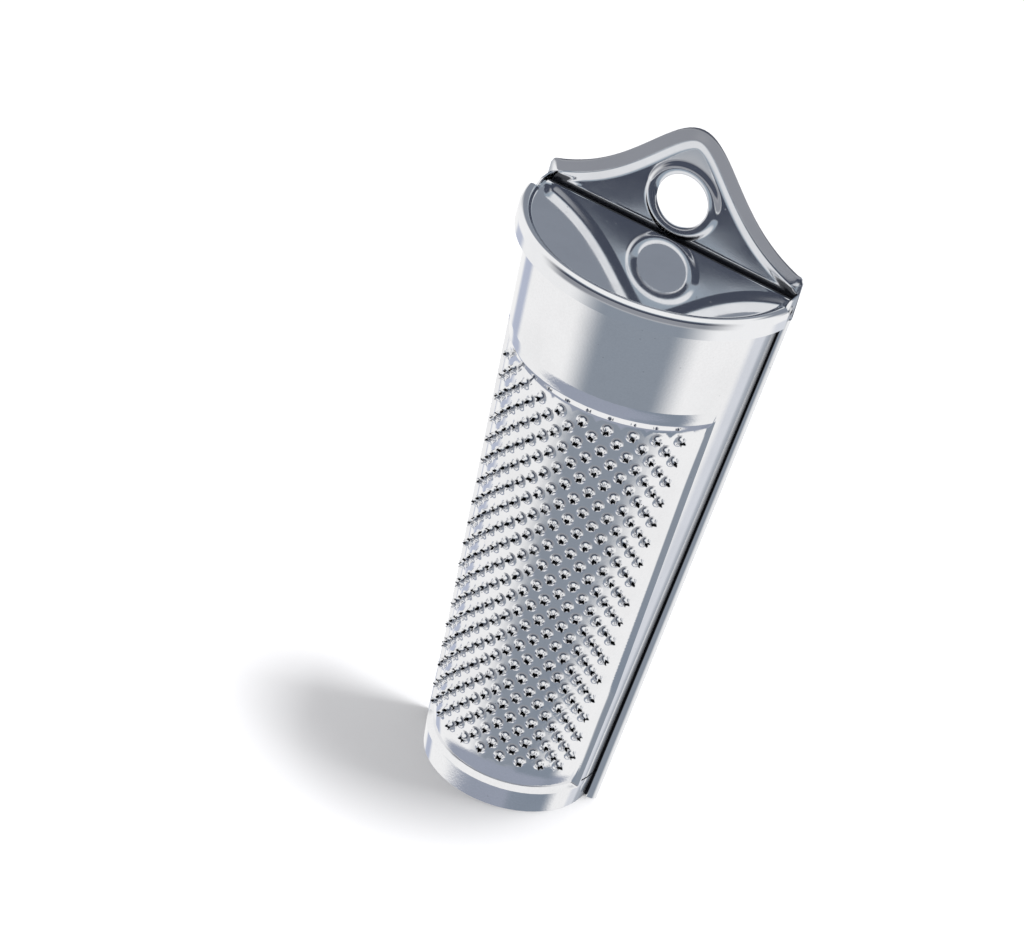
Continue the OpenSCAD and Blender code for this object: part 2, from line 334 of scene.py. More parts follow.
rough = node(marks, "ShaderNodeMapRange", {"Value": rubbed, "To Min": mark_in["Clean Roughness"],
                                           "To Max": mark_in["Dull Roughness"]}).outputs["Result"]
rough = calc(marks, "ADD", rough, calc(marks, "MULTIPLY", grain, grain_rough))
rough = calc(marks, "ADD", rough, calc(marks, "MULTIPLY", pits, pit_rough), clamp=True)

tint = calc(marks, "SUBTRACT", 1.0, calc(marks, "MULTIPLY", rubbed, rub_shade))
pit_tint = calc(marks, "SUBTRACT", 1.0, calc(marks, "MULTIPLY", pits, pit_shade))
tint = calc(marks, "MULTIPLY", tint, pit_tint)
tint = calc(marks, "ADD", tint, calc(marks, "MULTIPLY", grain, grain_shade))
color = node(marks, "ShaderNodeVectorMath", {0: mark_in["Base"], "Scale": tint},
             operation="SCALE").outputs[0]

mark_out = marks.nodes.new("NodeGroupOutput").inputs
marks.links.new(color, mark_out["Color"])
marks.links.new(rough, mark_out["Roughness"])
marks.links.new(calc(marks, "SUBTRACT", grain, pits), mark_out["Height"])
print("marks group has", len(marks.nodes), "nodes")

# %% [markdown]
# Each tinplate material is one Principled BSDF, fully metallic, whose colour, roughness and bump
# come from the marks group. Two values on the vertices change it in places. The first is painted
# shade: it turns the metal nearly black and dull in crevices, gaps and hollows where little light
# falls. "drawn" makes it smoother, as where a punch has stretched and polished it. A piece without
# them reads 0.

# %% A tinplate material
# Colour and roughness of the painted shade in crevices, gaps and hollows.
painted_shade_color = (0.035, 0.037, 0.045, 1)
painted_shade_roughness = 0.55
drawn_polish = 0.9


def tinplate(name, base, clean, dull, grain, pits, bump=0.004 * mm):
    """Tinplate of a base colour, with its roughness where clean and where rubbed dull."""
    material, tree = new_material(name)
    place = node(tree, "ShaderNodeTexCoord").outputs["Object"]
    mark = node(tree, "ShaderNodeGroup",
                {"Vector": place, "Base": (*base, 1), "Clean Roughness": clean,
                 "Dull Roughness": dull, "Grain": grain, "Pits": pits}, node_tree=marks)
    lift = node(tree, "ShaderNodeBump", {"Height": mark.outputs["Height"], "Distance": bump,
                                         "Strength": 1.0})
    painted_shade = node(tree, "ShaderNodeAttribute", attribute_name="painted_shade").outputs["Fac"]
    color = mix_color(tree, painted_shade, mark.outputs["Color"], painted_shade_color)
    drawn = node(tree, "ShaderNodeAttribute", attribute_name="drawn").outputs["Fac"]
    polish = calc(tree, "SUBTRACT", 1.0, calc(tree, "MULTIPLY", drawn, drawn_polish))
    rough = calc(tree, "MULTIPLY", mark.outputs["Roughness"], polish)
    rough = node(tree, "ShaderNodeMapRange", {"Value": painted_shade, "To Min": rough,
                                              "To Max": painted_shade_roughness}).outputs["Result"]
    shader = node(tree, "ShaderNodeBsdfPrincipled", {"Base Color": color, "Roughness": rough,
                                                     "Normal": lift.outputs["Normal"], "Metallic": 1.0})
    node(tree, "ShaderNodeOutputMaterial", {"Surface": shader.outputs[0]})
    return material


print("soiled metal has roughness", painted_shade_roughness)

# %% [markdown]
# The lid and the tab are nearly mirror bright. The shell is softer, because drawing and piercing
# it dulls the tin, and the floor inside is duller still. The rivets are darker plated steel.

# %% The five metals
satin_tin = tinplate("satin_tinplate", (0.87, 0.875, 0.89), 0.2, 0.26, 1.0, 0.5)
bright_tin = tinplate("bright_tinplate", (0.86, 0.87, 0.89), 0.07, 0.13, 0.25, 0.7, bump=0.005 * mm)
mirror_tin = tinplate("mirror_tinplate", (0.87, 0.88, 0.9), 0.045, 0.08, 0.2, 0.7, bump=0.003 * mm)
inner_tin = tinplate("inner_tinplate", (0.72, 0.73, 0.74), 0.28, 0.4, 1.0, 1.0)
rivet_steel = tinplate("rivet_steel", (0.62, 0.63, 0.65), 0.16, 0.28, 0.6, 1.0)
print("metals:", [m.name for m in (satin_tin, bright_tin, mirror_tin, inner_tin, rivet_steel)])

# %% [markdown]
# ## The shell and its burrs
# The shell is drawn flat first, as the tinsmith's blank: a sheet whose columns run up the grater
# and whose rows run across it. It could be spun as a cone at once, but hundreds of burrs are far
# easier to draw on a flat sheet. At the end the blank is bent round its cone, so the rows curve
# and the columns draw together towards the foot. The front of the shell is pressed in between a
# foot band and a plain top band. The table below gives that zone's depth at heights up the grater,
# both in millimetres: a steep wall at the foot, and a wall and a gentle bevel at the top.

# %% Sizes of the grating zone
zone_foot_z = foot_band_h
zone_top_z = 88.0 * mm
zone_depths = [(4.2, 0.0), (4.9, 0.98), (8.3, 0.74), (20, 0.88), (72, 0.88), (84, 0.7), (85.35, 0.25),
               (88, 0.0)]
zone_foot_half_w = 15.4 * mm
zone_top_half_w = 19.95 * mm
widest_share = 0.97


def border_angle(z):
    """Angle round the shell of the grating zone's side border."""
    rise = (z - zone_foot_z) / (zone_top_z - zone_foot_z)
    half_w = zone_foot_half_w + (zone_top_half_w - zone_foot_half_w) * rise
    return math.asin(min(half_w / outer_r(z), widest_share))


print("border stands at", round(math.degrees(border_angle(50 * mm)), 1), "degrees half way up")

# %% [markdown]
# The burrs stand in diagonal rows. Their places could be worked out one by one, but it is simpler
# to think of columns and rows: a burr comes wherever a column and a row of the same kind meet,
# like the dark squares of a chequerboard, so its nearest neighbours are half a pitch up and half a
# pitch aside. The pitch round the shell is an angle, and it is a little larger at the foot, where
# the shell is narrower.

# %% Places of the burrs
first_row_z = 10.4 * mm
row_pitch = 2.17 * mm
row_count = 34
half_columns = 10
foot_pitch = math.radians(13.3)
top_pitch = math.radians(11.9)


def pitch_angle(z):
    """Angle from one burr to the next in a row, at a height."""
    share = (z - first_row_z) / ((row_count - 1) * row_pitch)
    return foot_pitch + (top_pitch - foot_pitch) * share


print("burrs are", round(pitch_angle(50 * mm) * outer_r(50 * mm) / mm, 2), "mm apart half way up")

# %% [markdown]
# The blank's columns are half a burr pitch apart over the zone and closer together at the pressed
# border, where the surface turns quickly. A column's place is worked out at each height, because
# the columns draw together towards the foot. Past the quarter turn the sheet runs straight back
# towards the plate and ends in a flange that lies against it. Two columns are placed for cuts: a
# relief slit over the foot band, and a notch that leaves room for the hinge.

# %% Columns of the blank
quarter = math.pi / 2
border_w = 0.95 * mm
border_shares = (-1.1, -0.75, -0.5, -0.25, 0, 0.25)
slit_angle = math.radians(76.8)
notch_angle = math.radians(82.7)
# The least angle between columns, where the border comes close to the slit.
least_turn = 0.005
straight_run = plate_y - sheet_t - axis_y
flange_gap = 0.42 * mm
least_flange = 0.2 * mm


def column_angles(z):
    """Angles of the columns on one side, from the middle to the quarter turn."""
    border = border_angle(z)
    strip = border_w / outer_r(z)
    burrs = [i * pitch_angle(z) / 2 for i in range(half_columns + 1)]
    walls = [border + strip * share for share in border_shares]
    last = walls[-1]
    between = (last + slit_angle) / 2 if last < slit_angle else last + least_turn
    slit = max(slit_angle, last + 2 * least_turn)
    return burrs + [(burrs[-1] + border - strip) / 2] + walls + [between, slit, notch_angle, quarter]


def column_runs(z):
    """Distances of the columns along the sheet from its middle line, on one side."""
    r = outer_r(z)
    flange = max(plate_half_w(z) - flange_gap - r, least_flange)
    tail = [straight_run * 0.7, straight_run, straight_run + flange * 0.2, straight_run + flange]
    return [a * r for a in column_angles(z)] + [quarter * r + t for t in tail]


notch_column = len(column_angles(0)) - 2
slit_column = notch_column - 1
last_column = len(column_runs(0)) - 1
print(2 * last_column + 1, "columns")

# %% [markdown]
# The rows are half a burr pitch apart where the burrs stand. Under and over them they are close
# together only where the zone's walls and bevels need it, so that few faces are spent on the
# plain bands. The heights of those rows are given in millimetres.

# %% Rows of the blank
upper_wall_z = 84.0 * mm
foot_rows = [0, 0.4, 1.8, 3.4, 4.0, 4.2, 4.3, 4.43, 4.55, 4.67, 4.8, 4.9, 5.05, 5.4, 5.8, 6.8]
burr_rows = [first_row_z + i * row_pitch for i in range(-1, row_count)] + [upper_wall_z]
top_rows = [84.2, 84.5, 84.85, 85.15, 85.28, 85.35, 85.45, 86.5, 87.5, 87.93, 88.0, 88.06, 90, 94, 98,
            101, 103.7, 105.5, 107, 107.3]
row_places = [z * mm for z in foot_rows] + burr_rows + [z * mm for z in top_rows]
zone_row = len(foot_rows)
print(len(row_places), "rows")

# %% [markdown]
# The grid operator makes the blank's vertices on whole numbers, and each is then moved to the
# real place of its column and row. That keeps the work of joining them with the operator, and the
# vertices can be asked for by column and row afterwards.

# %% Make the blank
blank = bmesh.new()
columns, rows = 2 * last_column, len(row_places) - 1
bmesh.ops.create_grid(blank, x_segments=columns, y_segments=rows, size=0.5,
                      matrix=Matrix.Diagonal((columns, rows, 1, 1)))
blank_at = {(round(v.co.x), round(v.co.y + rows / 2)): v for v in blank.verts}
runs = [column_runs(z) for z in row_places]
for (column, row), v in blank_at.items():
    v.co = Vector((math.copysign(runs[row][abs(column)], column), row_places[row], 0))
print("blank has", len(blank.faces), "faces")

# %% [markdown]
# The notch beside the hinge and the relief slit over the foot band are snipped out of the blank
# before it is bent, as shears would do it: the faces between their columns and rows are deleted.

# %% Snip the notches and the slits
slit_low_z = 5.4 * mm
slit_top_z = 5.8 * mm


def row_of(z):
    """The row nearest to a height."""
    return min(range(len(row_places)), key=lambda i: abs(row_places[i] - z))


def face_between(column, row):
    """The blank's face between a column and the next, and a row and the next."""
    corners = [blank_at[column + a, row + b] for a, b in ((0, 0), (1, 0), (1, 1), (0, 1))]
    return next(f for f in corners[0].link_faces if all(c in f.verts for c in corners))


cut = []
for side in (-1, 1):
    for start, low, high in ((notch_column, seam_h, shell_h), (slit_column, slit_low_z, slit_top_z)):
        for column in range(start, last_column):
            for row in range(row_of(low), row_of(high)):
                cut.append(face_between(column if side > 0 else -column - 1, row))
bmesh.ops.delete(blank, geom=cut, context="FACES")
print(len(cut), "faces snipped off,", len(blank.faces), "left")

# %% [markdown]
# Each burr gets a diamond of the sheet to be drawn from. The faces of the grid are split along
# the diagonal that doesn't touch a burr's place, and the vertex in the middle of each diamond is
# dissolved. The diamonds meet edge to edge, so the whole zone is used and no face is left over
# between them. In the longer rows ten burrs stand, in the others nine.

# %% One diamond for each burr
def burr_number(row):
    """A row's number among the burrs' rows, counted from 0."""
    return row - zone_row - 1


def has_burr(column, row):
    """Whether a burr stands where a column and a row meet."""
    return (0 <= burr_number(row) < row_count and (column + burr_number(row)) % 2 == 0
            and abs(column) < half_columns)


for column in range(-half_columns, half_columns):
    for row in range(zone_row, zone_row + row_count + 1):
        if (column + burr_number(row)) % 2 == 0:
            ends = blank_at[column + 1, row], blank_at[column, row + 1]
        else:
            ends = blank_at[column, row], blank_at[column + 1, row + 1]
        bmesh.utils.face_split(face_between(column, row), *ends)

diamonds, burr_verts = [], []
for (column, row), v in blank_at.items():
    if has_burr(column, row):
        corners = [blank_at[column + a, row + b] for a, b in ((1, 0), (0, 1), (-1, 0), (0, -1))]
        diamonds.append((corners, v.co.copy()))
        burr_verts.append(v)
bmesh.ops.dissolve_verts(blank, verts=burr_verts)
print(len(diamonds), "burrs")

# %% [markdown]
# A diamond has four corners, too few for a round burr, so each of its edges is split in three.
# That gives twelve points, and a face of twelve points can be inset into rings of twelve. An edge
# belongs to two diamonds, so the pieces of those already split are remembered and left alone.

# %% Twelve points round each diamond
burr_faces, split_done = [], set()
for corners, centre in diamonds:
    face = next(f for f in corners[0].link_faces if all(c in f.verts for c in corners))
    burr_faces.append(face)
    for edge in list(face.edges):
        near, far = edge.verts
        if (near, far) in split_done or (far, near) in split_done:
            continue
        first = bmesh.utils.edge_split(edge, near, 1 / 3)[1]
        rest = next(e for e in first.link_edges if e.other_vert(first) is far)
        second = bmesh.utils.edge_split(rest, first, 1 / 2)[1]
        split_done.update({(near, first), (first, second), (second, far)})
print("a diamond now has", len(burr_faces[0].verts), "points")

# %% [markdown]
# A burr is a crown that a pointed punch tears up out of the sheet. Its petals differ from burr to
# burr, so a few random values are drawn for each: how many petals, how far they are turned, how
# tall it is and which way it leans, always a little towards the foot. The seed is fixed, so the
# same crowns come out each time.

# %% Random values of the crowns
petal_seed = 41
petal_counts = (3, 3, 4)
petal_turn = 0.5
tall_least, tall_most = 0.9, 1.1
lean = 0.06 * mm
drag = 0.12 * mm
rng = random.Random(petal_seed)
crowns = [(rng.choice(petal_counts), rng.uniform(-petal_turn, petal_turn),
           rng.uniform(tall_least, tall_most),
           Vector((rng.uniform(-lean, lean), rng.uniform(-lean, lean) - drag, 0))) for _ in diamonds]
print(sum(petals == 4 for petals, *_ in crowns), "crowns have four petals, the others three")

# %% [markdown]
# Each diamond is inset ring by ring, and each ring is put on a circle and lifted, which draws the
# crown up out of the sheet. A ring of the table has a radius, a height and how far the sheet is
# drawn there, from 0 to 1. The base lies in the sheet, over it comes a shallow skirt, and then the
# crown narrows upwards. The last two rings are torn: the petals rise and open out in waves, one of
# them on the upper side. What is left in the middle is deleted, which is the hole. The value
# "drawn" thins the sheet for Solidify and polishes the finish there.

# %% Draw the burrs up out of the blank
burr_rings = [(1.36, 0.0, 0.03), (1.25, 0.004, 0.1), (1.05, 0.085, 0.3), (0.86, 0.17, 0.45),
              (0.73, 0.4, 0.55), (0.63, 0.62, 0.65), (0.52, 0.84, 0.72)]
burr_points = 12
petal_rise = 0.34
petal_spread = 0.12
inset_step = 0.05 * mm

drawn = blank.verts.layers.float.new("drawn")
for number, (radius, height, share) in enumerate(burr_rings):
    bmesh.ops.inset_individual(blank, faces=burr_faces, thickness=inset_step)
    torn = max(0, number - len(burr_rings) + 3) / 2
    for face, (corners, centre), (petals, phase, tall, offset) in zip(burr_faces, diamonds, crowns):
        for v in face.verts:
            angle = math.atan2(v.co.y - centre.y, v.co.x - centre.x)
            angle = round(angle / (2 * math.pi) * burr_points) * 2 * math.pi / burr_points
            petal = torn ** 2 * math.cos(petals * (angle - quarter + phase))
            r = radius * mm * (1 + petal_spread * petal)
            v.co = centre + offset * height + Vector((math.cos(angle) * r, math.sin(angle) * r, 0))
            v.co.z = height * mm * tall * (1 + petal_rise * petal)
            v[drawn] = share
bmesh.ops.delete(blank, geom=burr_faces, context="FACES")
print("blank with burrs has", len(blank.faces), "faces")

# %% [markdown]
# The zone is pressed in while the blank is bent, because its borders follow the bent shape. The
# depth at a place is the smaller of two: what the table gives for its height, and what the slope
# at the side border allows. A pressed wall is straight with slightly rounded ends, as sheet is
# that was pushed against the edge of a die.

# %% Depth of the pressed zone
border_slope = 0.97
straight_share = 0.7


def wall(t):
    """A pressed wall's section from 0 to 1."""
    t = min(max(t, 0.0), 1.0)
    return straight_share * t + (1 - straight_share) * ease(t)


def pressed_depth(run, z):
    """How far the zone is pressed in, at a place on the sheet."""
    across = max(border_angle(z) * outer_r(z) - abs(run), 0) * border_slope
    along = 0.0
    for (low, low_depth), (high, high_depth) in zip(zone_depths, zone_depths[1:]):
        if low * mm <= z < high * mm:
            along = low_depth + (high_depth - low_depth) * wall((z / mm - low) / (high - low))
    return min(along * mm, across)


print("zone is", round(pressed_depth(0, 50 * mm) / mm, 2), "mm deep half way up")

# %% [markdown]
# The blank is bent by one function, as round a mandrel. A point keeps its distance along the
# sheet, which becomes an angle round the cone, and its height out of the sheet becomes a step
# outwards. Past the quarter turn the sheet runs straight back, and what is left over turns
# outwards as the flange.

# %% Bend a place round the cone
taper = math.atan((shell_top_r - shell_foot_r) / shell_h)


def bend(place):
    """The place on the bent shell of a place on the flat blank."""
    r = outer_r(place.y)
    side = math.copysign(1, place.x)
    lift = place.z - pressed_depth(place.x, place.y)
    past = abs(place.x) - quarter * r
    if past <= 0:
        angle = place.x / r
        out = r + lift * math.cos(taper)
        return Vector((out * math.sin(angle), axis_y - out * math.cos(angle),
                       place.y - lift * math.sin(taper)))
    back = min(past, straight_run)
    return Vector((side * (r + past - back), axis_y + back, place.y))


print("shell's side leans", round(math.degrees(taper), 2), "degrees")

# %% [markdown]
# The groove where the shell runs into the folded seam gets painted shade, fading in over a few
# degrees of the turn, for the dark of the narrow gap. The inner face gets painted shade all over,
# which shows as the dark middle of each burr. The burrs are part of this sheet, so the piece
# stands for the CAD's shell and for its group of burrs.

# %% Bend the shell
groove_angle = math.radians(88.5)
groove_fade = math.radians(2.5)
inside_shade = 0.92

# Painted shade: dark in the groove beside the seam, and on the inner face.
painted_shade = blank.verts.layers.float.new("painted_shade")
for v in blank.verts:
    v[painted_shade] = ease((abs(v.co.x) / outer_r(v.co.y) - groove_angle) / groove_fade)
    v.co = bend(v.co)
blank.normal_update()
front_face = min(blank.faces, key=lambda f: f.calc_center_median().y)
if front_face.normal.y > 0:
    bmesh.ops.reverse_faces(blank, faces=blank.faces)
finish_piece("grater_shell_sheet", blank, satin_tin, "frame",
             nodes=("grater_shell", "grating_burrs"), thickness=sheet_t, group="drawn",
             inside=inside_shade)

# %% [markdown]
# ## The back plate and its tab
# One sheet makes the whole back: a tapered plate whose long edges are folded forward over the
# shell's flanges, two hinge ears, and a bell-shaped tab with pressed beads. The tab's outline is a
# bell curve over the lid's height. At the shoulders the bead fades out and the corners are
# rounded, so one function gives any point of the tab: where it lies along the outline, how far in
# from it, and how far raised.

# %% Outline of the tab
lid_low, lid_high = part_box("lid")
lid_bead_h = 0.6 * mm
lid_z = lid_high.z - lid_bead_h
tab_h = 20.6 * mm
tab_bell_w = 16.1 * mm
fade_w = 1.3 * mm
corner_r = 0.8 * mm


def tab_top(x):
    """Height of the tab's outline above the lid."""
    return tab_h * (1 + (x / tab_bell_w) ** 2) ** -1.5


def tab_slope(x):
    """Slope of the tab's outline."""
    return -3 * tab_h * x / tab_bell_w ** 2 * (1 + (x / tab_bell_w) ** 2) ** -2.5


def tab_point(x, inset, height):
    """A point of the tab's sheet: moved in from the outline, and raised towards the viewer."""
    steep = math.hypot(1, tab_slope(x))
    fade = ease((shoulder_w - abs(x)) / fade_w)
    past = max(abs(x) - shoulder_w + corner_r, 0)
    corner_drop = corner_r - math.sqrt(max(corner_r ** 2 - past ** 2, 0))
    return Vector((x + inset * tab_slope(x) / steep, plate_y - height * fade,
                   lid_z + tab_top(x) - corner_drop - inset / steep))


print("tab is", round((lid_z + tab_h) / mm, 1), "mm above the foot")

# %% [markdown]
# The bead along the tab stiffens its edge. It is a chain of points on the outline, extruded
# inwards again and again to follow the bead's section: a margin that slopes up to a crest, and a
# shorter slope down to the panel. The section gives the distance in and the height, in
# millimetres. The stations stand closer together near the shoulders, where the outline ends.

# %% Press the tab's bead
tab_stations = 72
bead_section = [(0, 0), (0.12, 0.05), (0.5, 0.12), (1.2, 0.26), (1.8, 0.39), (2.05, 0.44), (2.2, 0.43),
                (2.45, 0.35), (2.8, 0.24), (3.15, 0.13), (3.5, 0.04), (3.75, 0.0), (3.9, 0.0)]

plate = bmesh.new()
stations = []
for i in range(tab_stations + 1):
    even = 1 - 2 * i / tab_stations
    stations.append(0.5 * (shoulder_w * math.sin(quarter * even) + shoulder_w * even))
verts, edges = chain(plate, [tab_point(x, 0, 0) for x in stations])
right_end, left_end = [verts[0]], [verts[-1]]
for inset, height in bead_section[1:]:
    places = [tab_point(x, inset * mm, height * mm) for x in stations]
    verts, edges = extrude_chain(plate, verts, edges, places)
    right_end.append(verts[0])
    left_end.append(verts[-1])
rim = list(edges)
for line in (right_end, left_end):
    rim += [plate.edges.get(pair) for pair in zip(line, line[1:])]
print("bead has", len(plate.faces), "faces")

# %% [markdown]
# The rest of the plate is flat, so only its outline is drawn: down one side, across the foot and
# up the other. Its long edges stop one sheet's thickness short of the full width under the
# shoulders, because the folded seams make up the rest.

# %% Outline the plate
side_points = [Vector((shoulder_w, plate_y, seam_h)), Vector((shoulder_w - sheet_t, plate_y, seam_h)),
               Vector((foot_w - sheet_t, plate_y, 0))]
corners = [plate.verts.new(p) for p in side_points]
corners += [plate.verts.new(Vector((-p.x, p.y, p.z))) for p in reversed(side_points)]
loop = [right_end[0]] + corners + [left_end[0]]
rim += [plate.edges.new(pair) for pair in zip(loop, loop[1:])]
print("plate is", round(2 * foot_w / mm, 1), "mm wide at the foot and",
      round(2 * shoulder_w / mm, 1), "mm at the shoulders")

# %% [markdown]
# The raised ring round the hanging hole is drawn as the bead is, but from a circle. It starts in
# the flat panel and is extruded inwards over its crest to the hole's edge, which stands a little
# raised where the punch left it. The section gives radius and height in millimetres.

# %% Press the ring round the hole
hole_z = lid_z + 7.1 * mm
hole_points = 64
ring_section = [(7.1, 0), (6.95, 0.01), (6.75, 0.07), (6.5, 0.21), (6.25, 0.35), (6.0, 0.44), (5.75, 0.46),
                (5.3, 0.41), (4.95, 0.34), (4.72, 0.25), (4.6, 0.12)]

hole_turn = Matrix.Translation((0, plate_y, hole_z)) @ Matrix.Rotation(quarter, 4, "X")
circle = bmesh.ops.create_circle(plate, segments=hole_points, radius=ring_section[0][0] * mm,
                                 matrix=hole_turn)["verts"]
circle_edges = list(dict.fromkeys(e for v in circle for e in v.link_edges))
rim += circle_edges
directions = [(v.co - Vector((0, plate_y, hole_z))).normalized() for v in circle]
for radius, height in ring_section[1:]:
    places = [Vector((d.x * radius * mm, plate_y - height * mm, hole_z + d.z * radius * mm))
              for d in directions]
    circle, circle_edges = extrude_chain(plate, circle, circle_edges, places)
print("hole is", round(2 * ring_section[-1][0], 1), "mm across")

# %% [markdown]
# A triangle fill closes the flat part between the bead, the ring and the outline in one go, and it
# leaves the hole open because the ring's outer edges are among its borders. The plate's normals
# have to point to the front, since Solidify then thickens it towards the back.

# %% Fill the plate
bmesh.ops.triangle_fill(plate, use_beauty=True, edges=rim)
bmesh.ops.recalc_face_normals(plate, faces=plate.faces)
if max(plate.faces, key=lambda f: f.calc_area()).normal.y > 0:
    bmesh.ops.reverse_faces(plate, faces=plate.faces)
finish_piece("back_plate_sheet", plate, bright_tin, "frame",
             nodes=("back_plate",), thickness=sheet_t)

# %% [markdown]
# The folded side seams belong to the same sheet, but they are thick where the metal is doubled, so
# they are drawn as closed sections. A seam's section is a hook: round where the sheet turns, with
# a softly rounded lip. Its lip reaches nearly to the shell, so it is wider at the foot, and the
# two end sections are bridged. The section's root lies inside the plate's thickness, so that no
# two faces share a plane, which would show as dark dashes.

# %% Fold the side seams
lip_low_w = 1.65 * mm
lip_high_w = 1.0 * mm
fold_steps = 4
fold_sharp = 50
fold_outer = [(0.05, 0.1), (0.12, 0.21), (0.2, 0.31), (0.3, 0.41), (0.4, 0.5), (0.5, 0.58), (0.6, 0.65)]
fold_lip = [(0.25, 0.81), (0.15, 0.8), (0.06, 0.74), (0.01, 0.65), (0.0, 0.55), (0.02, 0.44)]


def fold_section(lip_w):
    """Closed outline of the folded edge: how far out from the plate's edge, and how far forward."""
    t = sheet_t
    outline = [(-1.6 * t, -0.8 * t)]
    for i in range(fold_steps + 1):
        a = math.radians(-90 + 90 * i / fold_steps)
        outline.append((t * math.cos(a) - t, t * math.sin(a)))
    outline += [(-x * mm, y * mm) for x, y in fold_outer]
    outline += [(x * mm - lip_w, y * mm) for x, y in fold_lip]
    return outline + [(-1.08 * t, 1.1 * t), (-1.08 * t, 0), (-1.6 * t, -0.2 * t)]


seams = bmesh.new()
for side in (-1, 1):
    loops = []
    for edge_x, lip_w, z in ((foot_w, lip_low_w, 0), (shoulder_w, lip_high_w, seam_h)):
        section = [(side * (edge_x + a), plate_y - b, z) for a, b in fold_section(lip_w)]
        loops += seams.faces.new([seams.verts.new(p) for p in section]).edges
    bmesh.ops.bridge_loops(seams, edges=loops)
bmesh.ops.recalc_face_normals(seams, faces=seams.faces)
finish_piece("side_seams", seams, bright_tin, "frame", sharp=fold_sharp)

# %% [markdown]
# The hinge is made of flat leaves of the same sheet: two ears on the plate, and inside them two
# lugs on the lid. Both have a D outline in side view, round in front. Each leaf is one face,
# extruded by the sheet's thickness. Its edges are bevelled a little, because sheared sheet is
# never quite sharp, and a soft edge catches a line of light.

# %% A leaf of the hinge
pin_low, pin_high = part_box("hinge_pin_right")
hinge_y = (pin_low.y + pin_high.y) / 2
hinge_z = (pin_low.z + pin_high.z) / 2
arc_steps = 16
leaf_bevel = 0.12 * mm


def leaf_outline(radius, back_y):
    """D outline of an ear or a lug, in Y and Z: round in front, straight back to back_y."""
    arc = []
    for i in range(arc_steps + 1):
        a = math.radians(90 + 180 * i / arc_steps)
        arc.append((hinge_y + radius * math.cos(a), hinge_z + radius * math.sin(a)))
    return arc + [(back_y, hinge_z - radius), (back_y, hinge_z + radius)]


def add_leaf(bm, outline, x_low, side):
    """A flat leaf of sheet beside the hinge, with softened edges."""
    near = [bm.verts.new((side * x_low, y, z)) for y, z in outline]
    out = bmesh.ops.extrude_face_region(bm, geom=[bm.faces.new(near)])["geom"]
    far = verts_in(out)
    bmesh.ops.translate(bm, verts=far, vec=(side * sheet_t, 0, 0))
    leaf = set(near + far)
    rims = [e for e in bm.edges if e.verts[0] in leaf and e.verts[1] in leaf
            and abs(e.verts[0].co.x - e.verts[1].co.x) < sheet_t / 2]
    bmesh.ops.bevel(bm, geom=rims, offset=leaf_bevel, segments=2, affect="EDGES", profile=0.5,
                    material=-1)


print("hinge line is", round(hinge_z / mm, 1), "mm above the foot")

# %% [markdown]
# The ears are bent forward at the plate's shoulders, flush with its outer edges, and carry the
# rivets. They are drawn as leaves that reach through the plate's thickness to its back, which
# looks the same as a bend at this size and keeps the ears flat where the lugs turn beside them.

# %% Bend the hinge ears
ear_r = 2.2 * mm
ears = bmesh.new()
for side in (-1, 1):
    add_leaf(ears, leaf_outline(ear_r, plate_y + sheet_t), shoulder_w - sheet_t, side)
bmesh.ops.recalc_face_normals(ears, faces=ears.faces)
finish_piece("hinge_ears", ears, bright_tin, "frame")

# %% [markdown]
# ## The lid
# The lid is a half-round leaf with a rounded bead and a skirt that closes over the shell. It could
# be cut from a full disc, but spinning its section half round the centre line gives the bead and
# the skirt at once. The first points of the section run out over the flat panel, and the table
# gives the rest: the distance past the panel and the height, in millimetres.

# %% Spin the lid
lid_r = axis_y - lid_low.y
lid_flat_r = lid_r - 2.0 * mm
lid_rings = 14
lid_steps = 72
merge_gap = 0.001 * mm
lid_section = [(-0.45, 0), (-0.2, 0.0), (-0.02, 0.05), (0.15, 0.18), (0.35, 0.38), (0.62, 0.54),
               (1.0, 0.6), (1.38, 0.53), (1.7, 0.32), (1.9, 0.02), (2.0, -0.4), (2.0, -1.3), (2.0, -2.2),
               (2.0, -3.0)]

lid = bmesh.new()
panel = [(lid_flat_r * i / lid_rings, axis_y, lid_z) for i in range(lid_rings)]
lid_edge = [(lid_flat_r + a * mm, axis_y, lid_z + b * mm) for a, b in lid_section]
verts, edges = chain(lid, panel + lid_edge)
bmesh.ops.spin(lid, geom=verts + edges, axis=(0, 0, 1), cent=(0, axis_y, 0), angle=-math.pi,
               steps=lid_steps, use_merge=False)
bmesh.ops.remove_doubles(lid, verts=lid.verts, dist=merge_gap)
print("lid is", round(lid_r / mm, 2), "mm in radius")

# %% [markdown]
# A flat panel of thin sheet never stays quite flat. Drawing the bead leaves it slightly domed,
# which bends what it mirrors. Beside the hinge the bead and the skirt have to go, since the ears
# stand there, so a plane cuts through the rim and the faces behind it are deleted.

# %% Dome the panel and trim its rim
lid_dome = 0.35 * mm
rim_cut_y = plate_y - 5.2 * mm
panel_r = lid_flat_r - 0.1 * mm


def distance_out(place):
    """Distance of a place from the centre line of the round shapes."""
    return math.hypot(place.x, place.y - axis_y)


for v in lid.verts:
    if distance_out(v.co) < lid_flat_r:
        v.co.z += lid_dome * (1 - (distance_out(v.co) / lid_flat_r) ** 2)
rim_faces = [f for f in lid.faces if distance_out(f.calc_center_median()) > panel_r]
rim_edges = dict.fromkeys(e for f in rim_faces for e in f.edges)
rim_verts = dict.fromkeys(v for f in rim_faces for v in f.verts)
bmesh.ops.bisect_plane(lid, geom=[*rim_faces, *rim_edges, *rim_verts], plane_co=(0, rim_cut_y, 0),
                       plane_no=(0, 1, 0), clear_outer=False, clear_inner=False, dist=merge_gap)
cut_off = [f for f in lid.faces if distance_out(f.calc_center_median()) > panel_r
           and f.calc_center_median().y > rim_cut_y]
bmesh.ops.delete(lid, geom=cut_off, context="FACES")
print("lid has", len(lid.faces), "faces after the cut")
